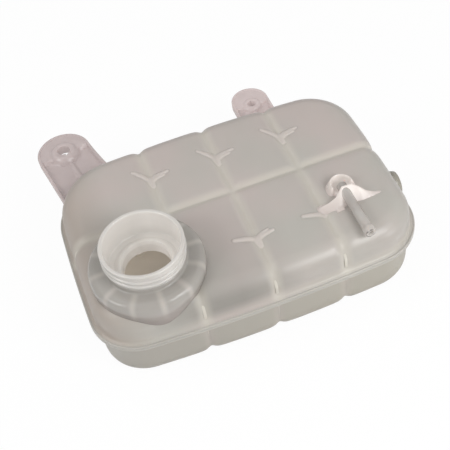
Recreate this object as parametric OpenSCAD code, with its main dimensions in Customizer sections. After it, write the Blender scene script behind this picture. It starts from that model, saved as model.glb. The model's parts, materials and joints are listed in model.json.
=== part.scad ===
// Coolant expansion tank: two translucent polypropylene mouldings welded at a flange.
// X runs along the tank, Y from its front to its back with the two mounting tabs, and Z is up.
// The filler neck stands at the front left and the hose spigot leaves the right-hand end.

/* [Body] */
// Length over the weld flange
body_l = 245; // [230:1:270]
// Width over the weld flange
body_w = 171; // [160:1:190]
// Height of the lower half, from the foot plane to the weld
lower_h = 40; // [34:1:55]
// Height of the upper half, from the weld to the crown of its pillows
upper_h = 26; // [24:1:40]
// Bow radius of the two long sides in plan
long_bow_r = 1350; // [900:50:3000]
// Bow radius of the two short sides in plan
short_bow_r = 1300; // [900:50:3000]
// Plan radius of the front left corner, beside the filler neck
front_left_r = 36; // [34:1:42]
// Plan radius of the back left corner, which carries the long tab
back_left_r = 48; // [36:1:55]
// Plan radius of the front right corner
front_right_r = 39; // [34:1:50]
// Plan radius of the back right corner
back_right_r = 42; // [34:1:50]
// Wall thickness of both mouldings
wall = 2.5; // [2:0.1:3]
// Draft of the side walls in degrees
draft = 2; // [1:0.5:3]
// Radius of the soft shoulder round the top
shoulder_r = 15; // [10:1:17]
// Radius of the edge round the bottom
foot_r = 11; // [8:1:15]

/* [Weld flange] */
// How far the flange stands out from the walls
flange_w = 3.7; // [3:0.1:5]
// Thickness of each of the two lips
lip_t = 2.1; // [1.6:0.1:3]
// Chamfer on the edges of the lips
lip_chamfer = 0.5; // [0.3:0.1:0.7]

/* [Pillow grid] */
// Place of the first transverse groove, from the middle of the body
groove_x = -47; // [-52:1:-44]
// Spacing of the three transverse grooves
groove_pitch = 51.5; // [46:0.5:54]
// Place of the long groove, from the middle of the body
groove_y = 4; // [4:0.5:8]
// Width of a groove over its soft flanks
groove_w = 11; // [9:0.5:13]
// Depth of a groove
groove_d = 3; // [2:0.1:3.5]

/* [Baffles] */
// Thickness of the baffle webs under the grooves
baffle_t = 2; // [1.6:0.1:2.5]
// Radius of the round windows that let coolant from cell to cell
window_r = 10; // [6:0.5:12]
// Width of the gull-wing webs that stiffen the baffles
gull_w = 26; // [18:1:30]
// Distance of the gull-wing webs from the long groove
gull_pitch = 42; // [38:1:46]
// Height of their tops above the crown of the pillows
gull_h = 0.8; // [0.5:0.1:1.2]

/* [Filler neck] */
// Place of the neck along the tank, from the middle of the body
neck_x = -72; // [-76:0.5:-71]
// Place of the neck across the tank, from the middle of the body
neck_y = -38.5; // [-38.5:0.5:-36]
// Height of the rim above the crown of the pillows
neck_h = 28; // [26:0.5:36]
// Outside radius of the neck below the rim, at the root of its thread
neck_r = 28.2; // [27.8:0.1:29]
// Outside radius of the rim
rim_r = 29; // [29:0.1:31]
// Radius of the mouth
mouth_r = 26.2; // [25:0.1:26.4]
// Depth of the cap's sealing seat below the rim
seat_depth = 21.7; // [20:0.1:23]
// Radius of the throat below the seat
throat_r = 16.6; // [14:0.1:18]
// Wall of the sleeve round the throat
sleeve_t = 2.2; // [1.8:0.1:2.6]
// Depth of the sleeve's lower end below the rim
throat_depth = 31; // [29:0.5:33]

/* [Drum under the neck] */
// Radius of the drum
drum_r = 40.5; // [39:0.5:40.5]
// Height of the drum's top above the crown of the pillows
drum_h = 10; // [8:0.5:12]
// Radius of the drum's upper edge
drum_edge_r = 7; // [5:0.5:9]
// Number of radial ribs inside the drum
drum_ribs = 12; // [6:1:16]
// Thickness of the radial ribs
drum_rib_t = 2; // [1.5:0.1:2.5]

/* [Vent nipple] */
// Place of the nipple along the tank, from the middle of the body
vent_x = 75; // [72:0.5:80]
// Place of its pod across the tank, from the middle of the body
vent_y = -30; // [-34:0.5:-26]
// Length of the nipple in front of the pod's axis
vent_len = 47.5; // [36:0.5:48]
// Outside radius of the tube
vent_r = 3.7; // [3:0.1:3.8]
// Radius of the retaining bead at its end
vent_bead_r = 4.3; // [4:0.1:4.5]
// Radius of its bore
vent_bore_r = 2; // [1.5:0.1:2.4]
// Height of its axis above the crown of the pillows
vent_z = 4.6; // [4.6:0.1:6]
// Radius of the pod at its foot
pod_r = 11; // [10:0.5:12]
// Height of the pod above the crown of the pillows
pod_h = 9.5; // [9.5:0.5:12]
// Radius of the pod's upper edge
pod_edge_r = 5; // [3:0.5:6]
// Reach of the pod's left wing, which falls to the groove
left_wing = 24; // [20:0.5:28]
// Reach of the pod's right wing
right_wing = 19; // [16:0.5:24]
// Distance of the wings' front edge before the pod's axis
wing_front = 15; // [13:0.5:18]

/* [Hose beads] */
// Length of tube end that a bead and its lead-in take up
bead_l = 6; // [5:0.5:8]

/* [Hose spigot] */
// Place of the spigot across the tank, from the middle of the body
spigot_y = -3.5; // [-8:0.5:0]
// Height of its axis above the foot plane
spigot_z = 19; // [17:0.5:22]
// Length of the spigot beyond the weld flange
spigot_len = 11.5; // [9:0.5:30]
// Outside radius of the spigot over its bead
spigot_r = 10.3; // [9:0.1:11]
// Height of its bead above the tube
spigot_bead = 0.8; // [0.6:0.1:1.2]
// Radius of its bore
spigot_bore_r = 7.5; // [6:0.1:8]

/* [Long tab] */
// Place of the hole along the tank, from the middle of the body
tab1_x = -100.5; // [-101:0.5:-96]
// Place of the hole across the tank, from the middle of the body
tab1_y = 117.5; // [112:0.5:124]
// Angle by which the tab leans away from the Y axis, in degrees
tab1_lean = 10; // [6:1:14]
// Radius of the tab's round end
tab1_r = 21.5; // [20:0.5:22]
// Radius of the bolt hole
tab1_hole_r = 5.2; // [4:0.1:6]
// Height of the boss round the hole
tab1_boss_h = 8; // [7:0.5:10]

/* [Short tab] */
// Place of the tab along the tank, from the middle of the body
tab2_x = 56; // [50:0.5:62]
// Place of the middle of the tab's round end across the tank
tab2_y = 107.5; // [103:0.5:114]
// Distance of the hole from there towards the body
tab2_hole_back = 4.5; // [0:0.5:5]
// Radius of the tab's round end
tab2_r = 15; // [14:0.5:17]
// Radius of the bolt hole
tab2_hole_r = 3.3; // [2.5:0.1:4]
// Height of the boss round the hole
tab2_boss_h = 6.5; // [6.5:0.5:8]

/* [Tab walls] */
// Thickness of the floor of the tabs
tab_floor = 2.5; // [2:0.1:3]
// Height of the rim round the tabs
tab_rim_h = 6; // [5:0.5:6.5]
// Thickness of the rim and of the middle rib
tab_rib_t = 2.2; // [1.8:0.1:2.6]

/* [Hidden] */
over = 2;
arc_fn = 96;
bow_steps = 6;
corner_steps = 8;
shoulder_steps = 8;

weld_z = lower_h;
crown_z = lower_h + upper_h;
rim_z = crown_z + neck_h;
seat_z = rim_z - seat_depth;
drum_top_z = crown_z + drum_h;
groove_xs = [for (i = [0:2]) groove_x + i * groove_pitch];

// The middles of the eight arcs of the plan outline: four bowed sides and four corners
front_c = [0, long_bow_r - body_w / 2];
back_c = [0, body_w / 2 - long_bow_r];
left_c = [short_bow_r - body_l / 2, 0];
right_c = [body_l / 2 - short_bow_r, 0];

// The middle of a corner arc of radius r inside two larger arcs, on the side where side is 1 or -1
function corner_middle(c1, r1, c2, r2, r, side) =
    let (
        gap = norm(c2 - c1),
        a = r1 - r,
        b = r2 - r,
        along = (gap * gap + a * a - b * b) / (2 * gap),
        across = side * sqrt(a * a - along * along),
        dir = (c2 - c1) / gap
    )
    c1 + along * dir + across * [-dir[1], dir[0]];

function bearing(from, to) = atan2(to[1] - from[1], to[0] - from[0]);
function turn(a0, a1) = (a1 - a0 + 540) % 360 - 180;

front_left_c = corner_middle(front_c, long_bow_r, left_c, short_bow_r, front_left_r, -1);
back_left_c = corner_middle(back_c, long_bow_r, left_c, short_bow_r, back_left_r, 1);
front_right_c = corner_middle(front_c, long_bow_r, right_c, short_bow_r, front_right_r, 1);
back_right_c = corner_middle(back_c, long_bow_r, right_c, short_bow_r, back_right_r, -1);

// Each arc of the outline, anticlockwise: middle, radius, first bearing, sweep and number of steps
function side_arc(c, r, from, to) = [c, r, bearing(c, from), turn(bearing(c, from), bearing(c, to)), bow_steps];
function corner_arc(c, r, from, to) =
    [c, r, bearing(from, c), turn(bearing(from, c), bearing(to, c)), corner_steps];
outline = [
    side_arc(front_c, long_bow_r, front_left_c, front_right_c),
    corner_arc(front_right_c, front_right_r, front_c, right_c),
    side_arc(right_c, short_bow_r, front_right_c, back_right_c),
    corner_arc(back_right_c, back_right_r, right_c, back_c),
    side_arc(back_c, long_bow_r, back_right_c, back_left_c),
    corner_arc(back_left_c, back_left_r, back_c, left_c),
    side_arc(left_c, short_bow_r, back_left_c, front_left_c),
    corner_arc(front_left_c, front_left_r, left_c, front_c)
];

// The outline moved inwards, as points along its arcs
function outline_pts(inset) = [
    for (arc = outline, i = [0:arc[4] - 1])
        let (a = arc[2] + arc[3] * i / arc[4])
        arc[0] + (arc[1] - inset) * [cos(a), sin(a)]
];

// Edges of the body at one x or one y
function front_edge(x) = front_c[1] - sqrt(long_bow_r * long_bow_r - x * x);
function back_edge(x) = back_c[1] + sqrt(long_bow_r * long_bow_r - x * x);
function left_edge(y) = left_c[0] - sqrt(short_bow_r * short_bow_r - y * y);
function right_edge(y) = right_c[0] + sqrt(short_bow_r * short_bow_r - y * y);

// Inset of the middle of the shoulder arc of a half that is h high with an edge of radius r
function shoulder_in(h, r) = flange_w + (r + (h - r) * sin(draft)) / cos(draft);

// Side curve of a half, as [inset, height above the weld], from its foot up the drafted wall and round
// the shoulder, with its faces moved in by t
function side_curve(h, r, t, foot = 0) = concat(
    [[flange_w + (t + foot * sin(draft)) / cos(draft), foot]],
    [for (i = [0:shoulder_steps])
        let (a = draft + (90 - draft) * i / shoulder_steps)
        [shoulder_in(h, r) - (r - t) * cos(a), h - r + (r - t) * sin(a)]]
);

// Groove section, as [across, height above the surface]: a narrow floor and soft flanks, carried on above it
groove_section = [
    [groove_w, groove_d / 2], [groove_w / 4, -groove_d / 4], [groove_w / 12, -groove_d],
    [-groove_w / 12, -groove_d], [-groove_w / 4, -groove_d / 4], [-groove_w, groove_d / 2]
];

// The ridge that keeps the wall whole on the inside of a groove
ridge_section = [
    [groove_w / 2, -wall / 2], [groove_w / 12 + wall / 2, -groove_d - wall],
    [-groove_w / 12 - wall / 2, -groove_d - wall], [-groove_w / 2, -wall / 2]
];

// A body lofted through rings of equally many points, which turn anticlockwise as seen from its far end
module loft(rings) {
    n = len(rings[0]);
    last = len(rings) - 1;
    polyhedron(
        points = [for (ring = rings) each ring],
        faces = concat(
            [[for (i = [0:n - 1]) i]],
            [for (k = [0:last - 1], i = [0:n - 1])
                [k * n + i, (k + 1) * n + i, (k + 1) * n + (i + 1) % n, k * n + (i + 1) % n]],
            [[for (i = [n - 1:-1:0]) last * n + i]]
        )
    );
}

// Rings of the outline, one for each [inset, height] of a profile
function outline_rings(profile) = [for (p = profile) [for (q = outline_pts(p[0])) [q[0], q[1], p[1]]]];

// A half as a full solid, h high above the weld
module tub(h, r) {
    loft(outline_rings(side_curve(h, r, 0)));
}

// The space inside a half, which starts below the weld so that it cuts through
module hollow(h, r) {
    loft(outline_rings(side_curve(h, r, wall, -wall)));
}

// One lip of the flange, above the weld
module lip() {
    loft(outline_rings([[lip_chamfer, 0], [0, lip_chamfer], [0, lip_t - lip_chamfer], [lip_chamfer, lip_t]]));
}

// Carries a section over a half at x = 0, from the foot of one wall across the top to the other.
// y0 and y1 are the outer edges of the flange there.
module over_half(section, h, r, y0, y1, foot) {
    curves = [for (p = section) side_curve(h, r, -p[1], foot)];
    last = len(curves[0]) - 1;
    points = [0:len(section) - 1];
    loft(concat(
        [for (k = [0:last]) [for (j = points) [section[j][0], y0 + curves[j][k][0], curves[j][k][1]]]],
        [for (k = [last:-1:0]) [for (j = points) [section[j][0], y1 - curves[j][k][0], curves[j][k][1]]]]
    ));
}

// All four grooves of a half, or their inner ridges
module grid(section, h, r, foot) {
    for (x = groove_xs)
        translate([x, 0, 0])
            over_half(section, h, r, front_edge(x), back_edge(x), foot);
    translate([0, groove_y, 0])
        rotate([0, 0, -90])
            over_half(section, h, r, left_edge(groove_y), right_edge(groove_y), foot);
}

// Baffle webs under the grooves, with round windows on the weld plane and notches at the far side
module baffles(h, r) {
    notch_r = window_r / 2;
    across = 2 * groove_pitch + 2 * over;
    difference() {
        union() {
            for (x = groove_xs)
                translate([x, 0, 0])
                    web(h, r, front_edge(x), back_edge(x));
            translate([0, groove_y, 0])
                rotate([0, 0, -90])
                    web(h, r, left_edge(groove_y), right_edge(groove_y));
        }
        for (y = [groove_y - gull_pitch / 2, groove_y + gull_pitch / 2])
            translate([groove_x - over, y, 0])
                rotate([0, 90, 0])
                    cylinder(h = across, r = window_r, $fn = arc_fn);
        for (y = [groove_y - 1.5 * gull_pitch, groove_y + 1.5 * gull_pitch])
            translate([groove_x - over, y, h - wall - groove_d])
                rotate([0, 90, 0])
                    cylinder(h = across, r = notch_r, $fn = arc_fn);
        for (i = [-1:2])
            translate([groove_x + (i + 0.5) * groove_pitch, groove_y - over, 0])
                rotate([-90, 0, 0])
                    cylinder(h = 2 * over, r = window_r, $fn = arc_fn);
    }
}

// One web at x = 0 along Y, let into the walls and the top by half their thickness
module web(h, r, y0, y1) {
    curve = side_curve(h, r, wall / 2);
    rotate([90, 0, 90])
        linear_extrude(height = baffle_t, center = true)
            polygon(concat(
                [for (p = curve) [y0 + p[0], p[1]]],
                [for (i = [len(curve) - 1:-1:0]) [y1 - curve[i][0], curve[i][1]]]
            ));
}

// Short curved webs that cross the transverse grooves, apart from the one inside the drum
module gulls(h) {
    bend_r = gull_w;
    half = asin(gull_w / 2 / bend_r);
    for (i = [0:2], side = [-1, 1])
        if (i > 0 || side > 0)
            translate([groove_xs[i], groove_y + side * (gull_pitch + bend_r), h - wall - 2 * groove_d])
                rotate([0, 0, -side * 90 - half])
                    rotate_extrude(angle = 2 * half, $fn = arc_fn)
                        translate([bend_r - baffle_t / 2, 0])
                            square([baffle_t, 2 * groove_d + wall + gull_h]);
}

// Outside of the drum, from inside the shoulder up to its round upper edge
module drum(r, top, bottom) {
    edge = r - (drum_r - drum_edge_r);
    rotate_extrude($fn = arc_fn)
        polygon(concat(
            [[0, bottom], [r, bottom]],
            [for (a = [0:15:90]) [r - edge + edge * cos(a), top - edge + edge * sin(a)]],
            [[0, top]]
        ));
}

// Neck, sealing seat and throat sleeve as one turned section
module neck() {
    under_z = seat_z - sleeve_t;
    relief = rim_r - neck_r;
    rotate_extrude($fn = arc_fn)
        polygon([
            [throat_r, rim_z - throat_depth], [throat_r + sleeve_t, rim_z - throat_depth],
            [throat_r + sleeve_t, under_z], [neck_r, under_z],
            [neck_r, rim_z - 3 * relief], [rim_r, rim_z - 2 * relief],
            [rim_r, rim_z - lip_chamfer], [rim_r - lip_chamfer, rim_z],
            [mouth_r + lip_chamfer, rim_z], [mouth_r, rim_z - lip_chamfer],
            [mouth_r, seat_z], [throat_r + sleeve_t / 2, seat_z], [throat_r, seat_z - sleeve_t / 2]
        ]);
}

// Free space inside the neck
module neck_bore() {
    translate([0, 0, seat_z])
        cylinder(h = seat_depth + over, r = mouth_r, $fn = arc_fn);
    translate([0, 0, rim_z - throat_depth - over])
        cylinder(h = throat_depth, r = throat_r, $fn = arc_fn);
}

// Radial ribs between the throat sleeve and the wall of the drum, let into both
module drum_rib_ring() {
    inner_r = throat_r + sleeve_t / 2;
    intersection() {
        drum(drum_r - wall / 2, drum_top_z - wall / 2, crown_z - wall);
        for (i = [0:drum_ribs - 1])
            rotate([0, 0, i * 360 / drum_ribs])
                translate([inner_r, -drum_rib_t / 2, crown_z - wall])
                    cube([drum_r - inner_r, drum_rib_t, drum_h + wall]);
    }
}

// A hose end along +Z with its retaining bead
module beaded_tube(r, bead_r, len) {
    rotate_extrude($fn = arc_fn)
        polygon([
            [0, 0], [r, 0], [r, len - bead_l], [bead_r, len - 0.75 * bead_l], [bead_r, len - 0.5 * bead_l],
            [r, len], [0, len]
        ]);
}

// A wing that falls from the pod to the top of the tank along +X, with its crest behind its front edge
module wing(len) {
    crest = 0.6 * wing_front;
    front_h = pod_h / 12;
    loft([
        for (s = [[0.1, 0.9, 1, 1], [0.5, 0.52, 0.95, 0.62], [1, front_h / pod_h, 0.85, 0.24]])
            let (x = len * s[0], high = pod_h * s[1], front = -wing_front * s[2], half = crest * s[3])
            [[x, front + 2 * half, -over], [x, front + half, high], [x, front, front_h * s[2]], [x, front, -over]]
    ]);
}

// Pod, wings and nipple of the vent, seen from the crown of the pillows
module vent() {
    pad_r = pod_r + wall;
    rotate_extrude($fn = arc_fn)
        polygon(concat(
            [[0, -wall / 2], [pad_r, -wall / 2], [pad_r, wall / 2], [pad_r - wall / 2, wall], [pod_r, wall]],
            [for (a = [0:22.5:90])
                [pod_r - 1 - pod_edge_r * (1 - cos(a)), pod_h - pod_edge_r * (1 - sin(a))]],
            [[0, pod_h]]
        ));
    translate([0, 0, vent_z])
        rotate([90, 0, 0])
            beaded_tube(vent_r, vent_bead_r, vent_len);
    mirror([1, 0, 0])
        wing(left_wing);
    wing(right_wing);
}

// Passage from the end of the nipple down into the tank
module vent_bore() {
    translate([0, 0, vent_z])
        rotate([90, 0, 0])
            cylinder(h = vent_len + over, r = vent_bore_r, $fn = arc_fn);
    translate([0, 0, -wall - over])
        cylinder(h = wall + over + vent_z + vent_bore_r, r = 2 * vent_bore_r, $fn = arc_fn);
}

// A mounting tab with floor, rim, middle rib and bossed hole; its round end is at the origin
module tab(r, len, boss_r, boss_h, hole_back) {
    linear_extrude(height = tab_floor)
        tab_plan(r, len);
    linear_extrude(height = tab_rim_h)
        difference() {
            tab_plan(r, len);
            circle(r = r - tab_rib_t, $fn = arc_fn);
            translate([-r + tab_rib_t, -len - over])
                square([2 * (r - tab_rib_t), len + over]);
        }
    translate([-tab_rib_t / 2, -len, 0])
        cube([tab_rib_t, len - hole_back - boss_r / 2, tab_rim_h]);
    translate([0, -hole_back, 0])
        cylinder(h = boss_h, r = boss_r, $fn = arc_fn);
}

module tab_plan(r, len) {
    circle(r = r, $fn = arc_fn);
    translate([-r, -len])
        square([2 * r, len]);
}

// The two tabs where they stand, at the height of the upper lip
module tabs() {
    tab1_len = body_w / 2;
    tab2_len = tab2_y - back_edge(tab2_x) + flange_w + wall / 2;
    translate([tab1_x, tab1_y, 0])
        rotate([0, 0, tab1_lean])
            tab(tab1_r, tab1_len, tab1_hole_r * 2.2, tab1_boss_h, 0);
    translate([tab2_x, tab2_y, 0])
        tab(tab2_r, tab2_len, tab2_hole_r * 2.4, tab2_boss_h, tab2_hole_back);
}

module tab_holes() {
    translate([tab1_x, tab1_y, -over])
        cylinder(h = tab1_boss_h + 2 * over, r = tab1_hole_r, $fn = arc_fn);
    translate([tab2_x, tab2_y - tab2_hole_back, -over])
        cylinder(h = tab2_boss_h + 2 * over, r = tab2_hole_r, $fn = arc_fn);
}

// Hose spigot on the right-hand wall of the lower half
module spigot() {
    reach = body_l / 2 + spigot_len - spigot_root();
    translate([spigot_root(), spigot_y, spigot_z])
        rotate([0, 90, 0])
            beaded_tube(spigot_r - spigot_bead, spigot_r, reach);
}

// Just inside the outer face of the right-hand wall, at the height of the spigot
function spigot_root() = right_edge(spigot_y) - flange_w - wall - 1;

module spigot_bore() {
    translate([spigot_root() - over, spigot_y, spigot_z])
        rotate([0, 90, 0])
            cylinder(h = body_l, r = spigot_bore_r, $fn = arc_fn);
}

// Moves the part so that the middle of its box stands over the origin
module place() {
    box_x0 = min(-body_l / 2, tab1_x - tab1_r);
    box_x1 = body_l / 2 + spigot_len;
    box_y0 = -body_w / 2;
    box_y1 = tab1_y + tab1_r;
    translate([-(box_x0 + box_x1) / 2, -(box_y0 + box_y1) / 2, 0])
        children();
}

// Upper moulding: pillowed top, drum and filler neck, vent nipple, mounting tabs and upper baffles
module upper_shell() {
    color([0.80, 0.78, 0.75])
        place()
            difference() {
                union() {
                    difference() {
                        upper_outside();
                        upper_cavity();
                    }
                    translate([0, 0, weld_z]) {
                        baffles(upper_h, shoulder_r);
                        gulls(upper_h);
                    }
                    translate([neck_x, neck_y, 0]) {
                        drum_rib_ring();
                        neck();
                    }
                    translate([vent_x, vent_y, crown_z])
                        vent();
                }
                translate([0, 0, weld_z])
                    tab_holes();
                translate([neck_x, neck_y, 0])
                    neck_bore();
                translate([vent_x, vent_y, crown_z])
                    vent_bore();
            }
}

// The upper moulding as a full body; the grooves stop at the drum
module upper_outside() {
    translate([0, 0, weld_z]) {
        difference() {
            tub(upper_h, shoulder_r);
            grid(groove_section, upper_h, shoulder_r, lip_t / 2);
        }
        lip();
        tabs();
    }
    translate([neck_x, neck_y, 0])
        drum(drum_r, drum_top_z, weld_z + lip_t);
}

// The space inside it, which keeps a ridge under each groove as far as the drum
module upper_cavity() {
    translate([0, 0, weld_z])
        difference() {
            hollow(upper_h, shoulder_r);
            grid(ridge_section, upper_h, shoulder_r, -wall);
        }
    translate([neck_x, neck_y, 0])
        drum(drum_r - wall, drum_top_z - wall, weld_z - wall);
}

// Lower moulding: pillowed bottom, lower baffles and the hose spigot
module lower_shell() {
    color([0.74, 0.72, 0.69])
        place()
            difference() {
                union() {
                    translate([0, 0, weld_z])
                        mirror([0, 0, 1]) {
                            difference() {
                                union() {
                                    difference() {
                                        tub(lower_h, foot_r);
                                        grid(groove_section, lower_h, foot_r, lip_t / 2);
                                    }
                                    lip();
                                }
                                difference() {
                                    hollow(lower_h, foot_r);
                                    grid(ridge_section, lower_h, foot_r, -wall);
                                }
                            }
                            baffles(lower_h, foot_r);
                        }
                    spigot();
                }
                spigot_bore();
            }
}

upper_shell();
lower_shell();
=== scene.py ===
"""Coolant expansion tank: the looks of its two translucent mouldings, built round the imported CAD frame."""

import json
import math

import bmesh
import bpy
import numpy as np
from bpy.props import FloatProperty, FloatVectorProperty, IntProperty, PointerProperty
from mathutils import Matrix, Vector


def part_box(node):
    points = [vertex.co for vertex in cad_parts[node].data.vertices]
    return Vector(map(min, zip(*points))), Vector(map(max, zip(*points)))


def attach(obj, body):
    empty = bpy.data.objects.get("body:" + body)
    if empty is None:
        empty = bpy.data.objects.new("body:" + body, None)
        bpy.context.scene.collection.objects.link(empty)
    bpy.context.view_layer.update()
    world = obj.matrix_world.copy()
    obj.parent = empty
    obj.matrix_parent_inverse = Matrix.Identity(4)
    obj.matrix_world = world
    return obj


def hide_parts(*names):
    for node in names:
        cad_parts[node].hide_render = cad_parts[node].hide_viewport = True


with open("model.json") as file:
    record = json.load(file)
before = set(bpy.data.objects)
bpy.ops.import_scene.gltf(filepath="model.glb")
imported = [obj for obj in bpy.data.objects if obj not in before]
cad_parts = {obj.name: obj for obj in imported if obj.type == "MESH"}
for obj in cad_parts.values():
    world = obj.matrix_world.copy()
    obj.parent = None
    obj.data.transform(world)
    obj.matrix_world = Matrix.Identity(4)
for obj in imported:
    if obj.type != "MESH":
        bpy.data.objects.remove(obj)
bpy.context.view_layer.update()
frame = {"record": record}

bl_info = {
    "name": "Coolant Expansion Tank",
    "version": (1, 0, 0),
    "blender": (4, 5, 0),
    "location": "View3D > Sidebar > Tank",
    "description": "Builds a translucent coolant expansion tank with its neck, nipple, spigot and tabs",
    "category": "Object",
}

MM = 0.001
MOUNTS = {m["name"]: m for m in frame["record"]["mounts"]}
UPPER_LOW, UPPER_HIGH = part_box("upper_shell")
LOWER_LOW, LOWER_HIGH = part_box("lower_shell")
WELD_Z = UPPER_LOW.z
UPPER = ("upper_shell", "upper_plastic")
LOWER = ("lower_shell", "lower_plastic")
WHITE = (1.0, 1.0, 1.0, 1.0)
BLACK = (0.0, 0.0, 0.0, 1.0)
GRAIN_DEPTH = 0.2 * MM
PLASTIC_IOR = 1.49


def place_of(mount):
    """The middle of one of the part's mounts, in metres."""
    return Vector(MOUNTS[mount]["pos_m"])


def radius_of(mount):
    return MOUNTS[mount]["dims"]["r_mm"] * MM


def length(name, description, millimetres):
    """A property that holds a length."""
    return FloatProperty(
        name=name, description=description, default=millimetres * MM, precision=5, unit="LENGTH", subtype="DISTANCE"
    )


def colour(name, description, value):
    """A property that holds a colour, given as it looks on a screen."""
    return FloatVectorProperty(
        name=name, description=description, default=[linear(v) for v in value], size=3, min=0, max=1, subtype="COLOR"
    )


def number(name, description, value):
    """A property that holds a plain number."""
    return FloatProperty(name=name, description=description, default=value)


def angle(name, description, degrees):
    return FloatProperty(name=name, description=description, default=math.radians(degrees), subtype="ANGLE")


def watts(name, description, value):
    return FloatProperty(name=name, description=description, default=value, unit="POWER")


def linear(v):
    """Screen value from 0 to 255 as linear light."""
    v /= 255
    return v / 12.92 if v <= 0.04045 else ((v + 0.055) / 1.055) ** 2.4


class BodySizes(bpy.types.PropertyGroup):
    """Sizes that the two shells share."""

    length_over: length("Length", "Length over the weld flange", 245)
    long_bow: length("Long bow", "Bow radius of the two long sides", 1350)
    short_bow: length("Short bow", "Bow radius of the two short sides", 1300)
    front_left: length("Front left corner", "Plan radius of the corner beside the neck", 36)
    back_left: length("Back left corner", "Plan radius of the corner with the long tab", 48)
    front_right: length("Front right corner", "Plan radius of the front right corner", 39)
    back_right: length("Back right corner", "Plan radius of the back right corner", 42)
    wall: length("Wall", "Wall thickness", 2.5)
    shoulder: length("Shoulder", "Radius of the shoulder round the top", 15)
    foot: length("Foot edge", "Radius of the edge round the bottom", 11)
    crown: length("Crown", "Height of the top pillows above the weld", 26)
    flange: length("Flange", "How far the flange stands out from the walls", 3.7)
    lip: length("Lip", "Thickness of each lip of the flange", 2.1)
    foot_fillet: length("Fillet", "Fillet between the flange and the walls", 2.4)
    draft: angle("Draft", "Draft of the side walls", 2)
    mesh_step: length("Mesh step", "Spacing of the points on the shells", 1.5)


class GrooveSizes(bpy.types.PropertyGroup):
    """The pillow grid and what lies under it."""

    first_x: length("First groove", "Place of the first transverse groove from the middle of the body", -47)
    pitch: length("Pitch", "Spacing of the transverse grooves", 51.5)
    long_y: length("Long groove", "Place of the long groove from the middle of the body", 4)
    depth: length("Depth", "Depth of the grooves", 3)
    bulge: length("Bulge", "Height by which the middle of a top pillow stands above its edges", 0.5)
    half_width: length("Half width", "Distance from the floor at which a groove has lost most of its depth", 3.6)
    top_ease: number("Top ease", "Share of their depth that the grooves lose on flat faces", 0.3)
    upper_ease: number("Upper wall ease", "Share of their depth that the grooves lose on the upper walls", 0.3)
    lower_ease: number("Lower wall ease", "Share of their depth that the grooves lose on the lower walls", 0.6)
    baffle: length("Baffle", "Thickness of the baffle webs", 2)
    window: length("Window", "Radius of the windows in the baffles", 10)
    gull_span: length("Gull span", "Width of the gull-wing webs", 26)
    gull_pitch: length("Gull pitch", "Distance of the gull-wing webs from the long groove", 42)
    gull_rise: length("Gull rise", "Height of the gull-wing webs above the pillows", 0.8)


class NeckSizes(bpy.types.PropertyGroup):
    """Filler neck and drum."""

    outer: length("Neck radius", "Outside radius of the neck", 28.2)
    rim: length("Rim radius", "Outside radius of the rim", 29)
    seat_depth: length("Seat depth", "Depth of the sealing seat below the rim", 21.7)
    throat: length("Throat radius", "Radius of the throat below the seat", 16.6)
    ring: length("Sealing ring", "Width of the raised ring round the throat", 3)
    ring_rise: length("Ring height", "Height of the raised ring above the seat", 1)
    sleeve: length("Sleeve", "Wall of the sleeve round the throat", 2.2)
    throat_depth: length("Throat depth", "Depth of the sleeve's lower end below the rim", 31)
    drum: length("Drum radius", "Radius of the drum", 40.5)
    drum_rise: length("Drum height", "Height of the drum's top above the pillows", 10)
    drum_edge: length("Drum edge", "Radius of the drum's upper edge", 11)
    neck_fillet: length("Neck fillet", "Fillet between the drum and the neck", 4)
    rib: length("Rib", "Thickness of the ribs inside the drum", 2)
    ribs: IntProperty(name="Ribs", description="Number of ribs inside the drum", default=12, min=3)
    thread_pitch: length("Thread pitch", "Pitch of the cap's thread", 4.4)
    thread_rise: length("Thread height", "Height of the thread on the neck", 1.1)
    thread_top: length("Thread top", "Depth of the thread's start below the rim", 3.6)
    thread_turns: number("Thread turns", "Turns of the cap's thread", 2.0)


class HoseSizes(bpy.types.PropertyGroup):
    """Vent nipple with its pod, and the hose spigot."""

    vent_tube: length("Vent tube", "Outside radius of the vent nipple", 3.7)
    vent_bore: length("Vent bore", "Bore radius of the vent nipple", 2)
    vent_axis: length("Vent axis", "Height of the nipple's axis above the pillows", 4.6)
    vent_length: length("Vent length", "Length of the nipple in front of the pod's axis", 47.5)
    bead: length("Bead length", "Length of tube end that a bead and its lead-in take up", 6)
    left_wing: length("Left wing", "Reach of the pod's left wing", 24)
    right_wing: length("Right wing", "Reach of the pod's right wing", 19)
    spigot_bore: length("Spigot bore", "Bore radius of the hose spigot", 7.5)
    spigot_neck: length("Spigot neck", "Depth of the spigot's neck behind its bead", 0.8)


class TabSizes(bpy.types.PropertyGroup):
    """The two mounting tabs."""

    floor: length("Floor", "Thickness of the tabs' floor", 2.5)
    rim: length("Rim height", "Height of the rim round the tabs", 6)
    rib: length("Rib", "Thickness of the rim and of the middle rib", 2.2)
    long_radius: length("Long tab radius", "Radius of the long tab's round end", 21.5)
    long_flare: length("Long tab flare", "How much wider the long tab is at its root", 4)
    long_boss: length("Long tab boss", "Height of the long tab's boss", 8)
    long_lean: angle("Lean", "Angle of the long tab from the Y axis", 10)
    short_radius: length("Short tab radius", "Radius of the short tab's round end", 15)
    short_boss: length("Short tab boss", "Height of the short tab's boss", 6.5)
    short_hole_back: length("Hole setback", "Distance of the short tab's hole behind its round end", 4.5)


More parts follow.
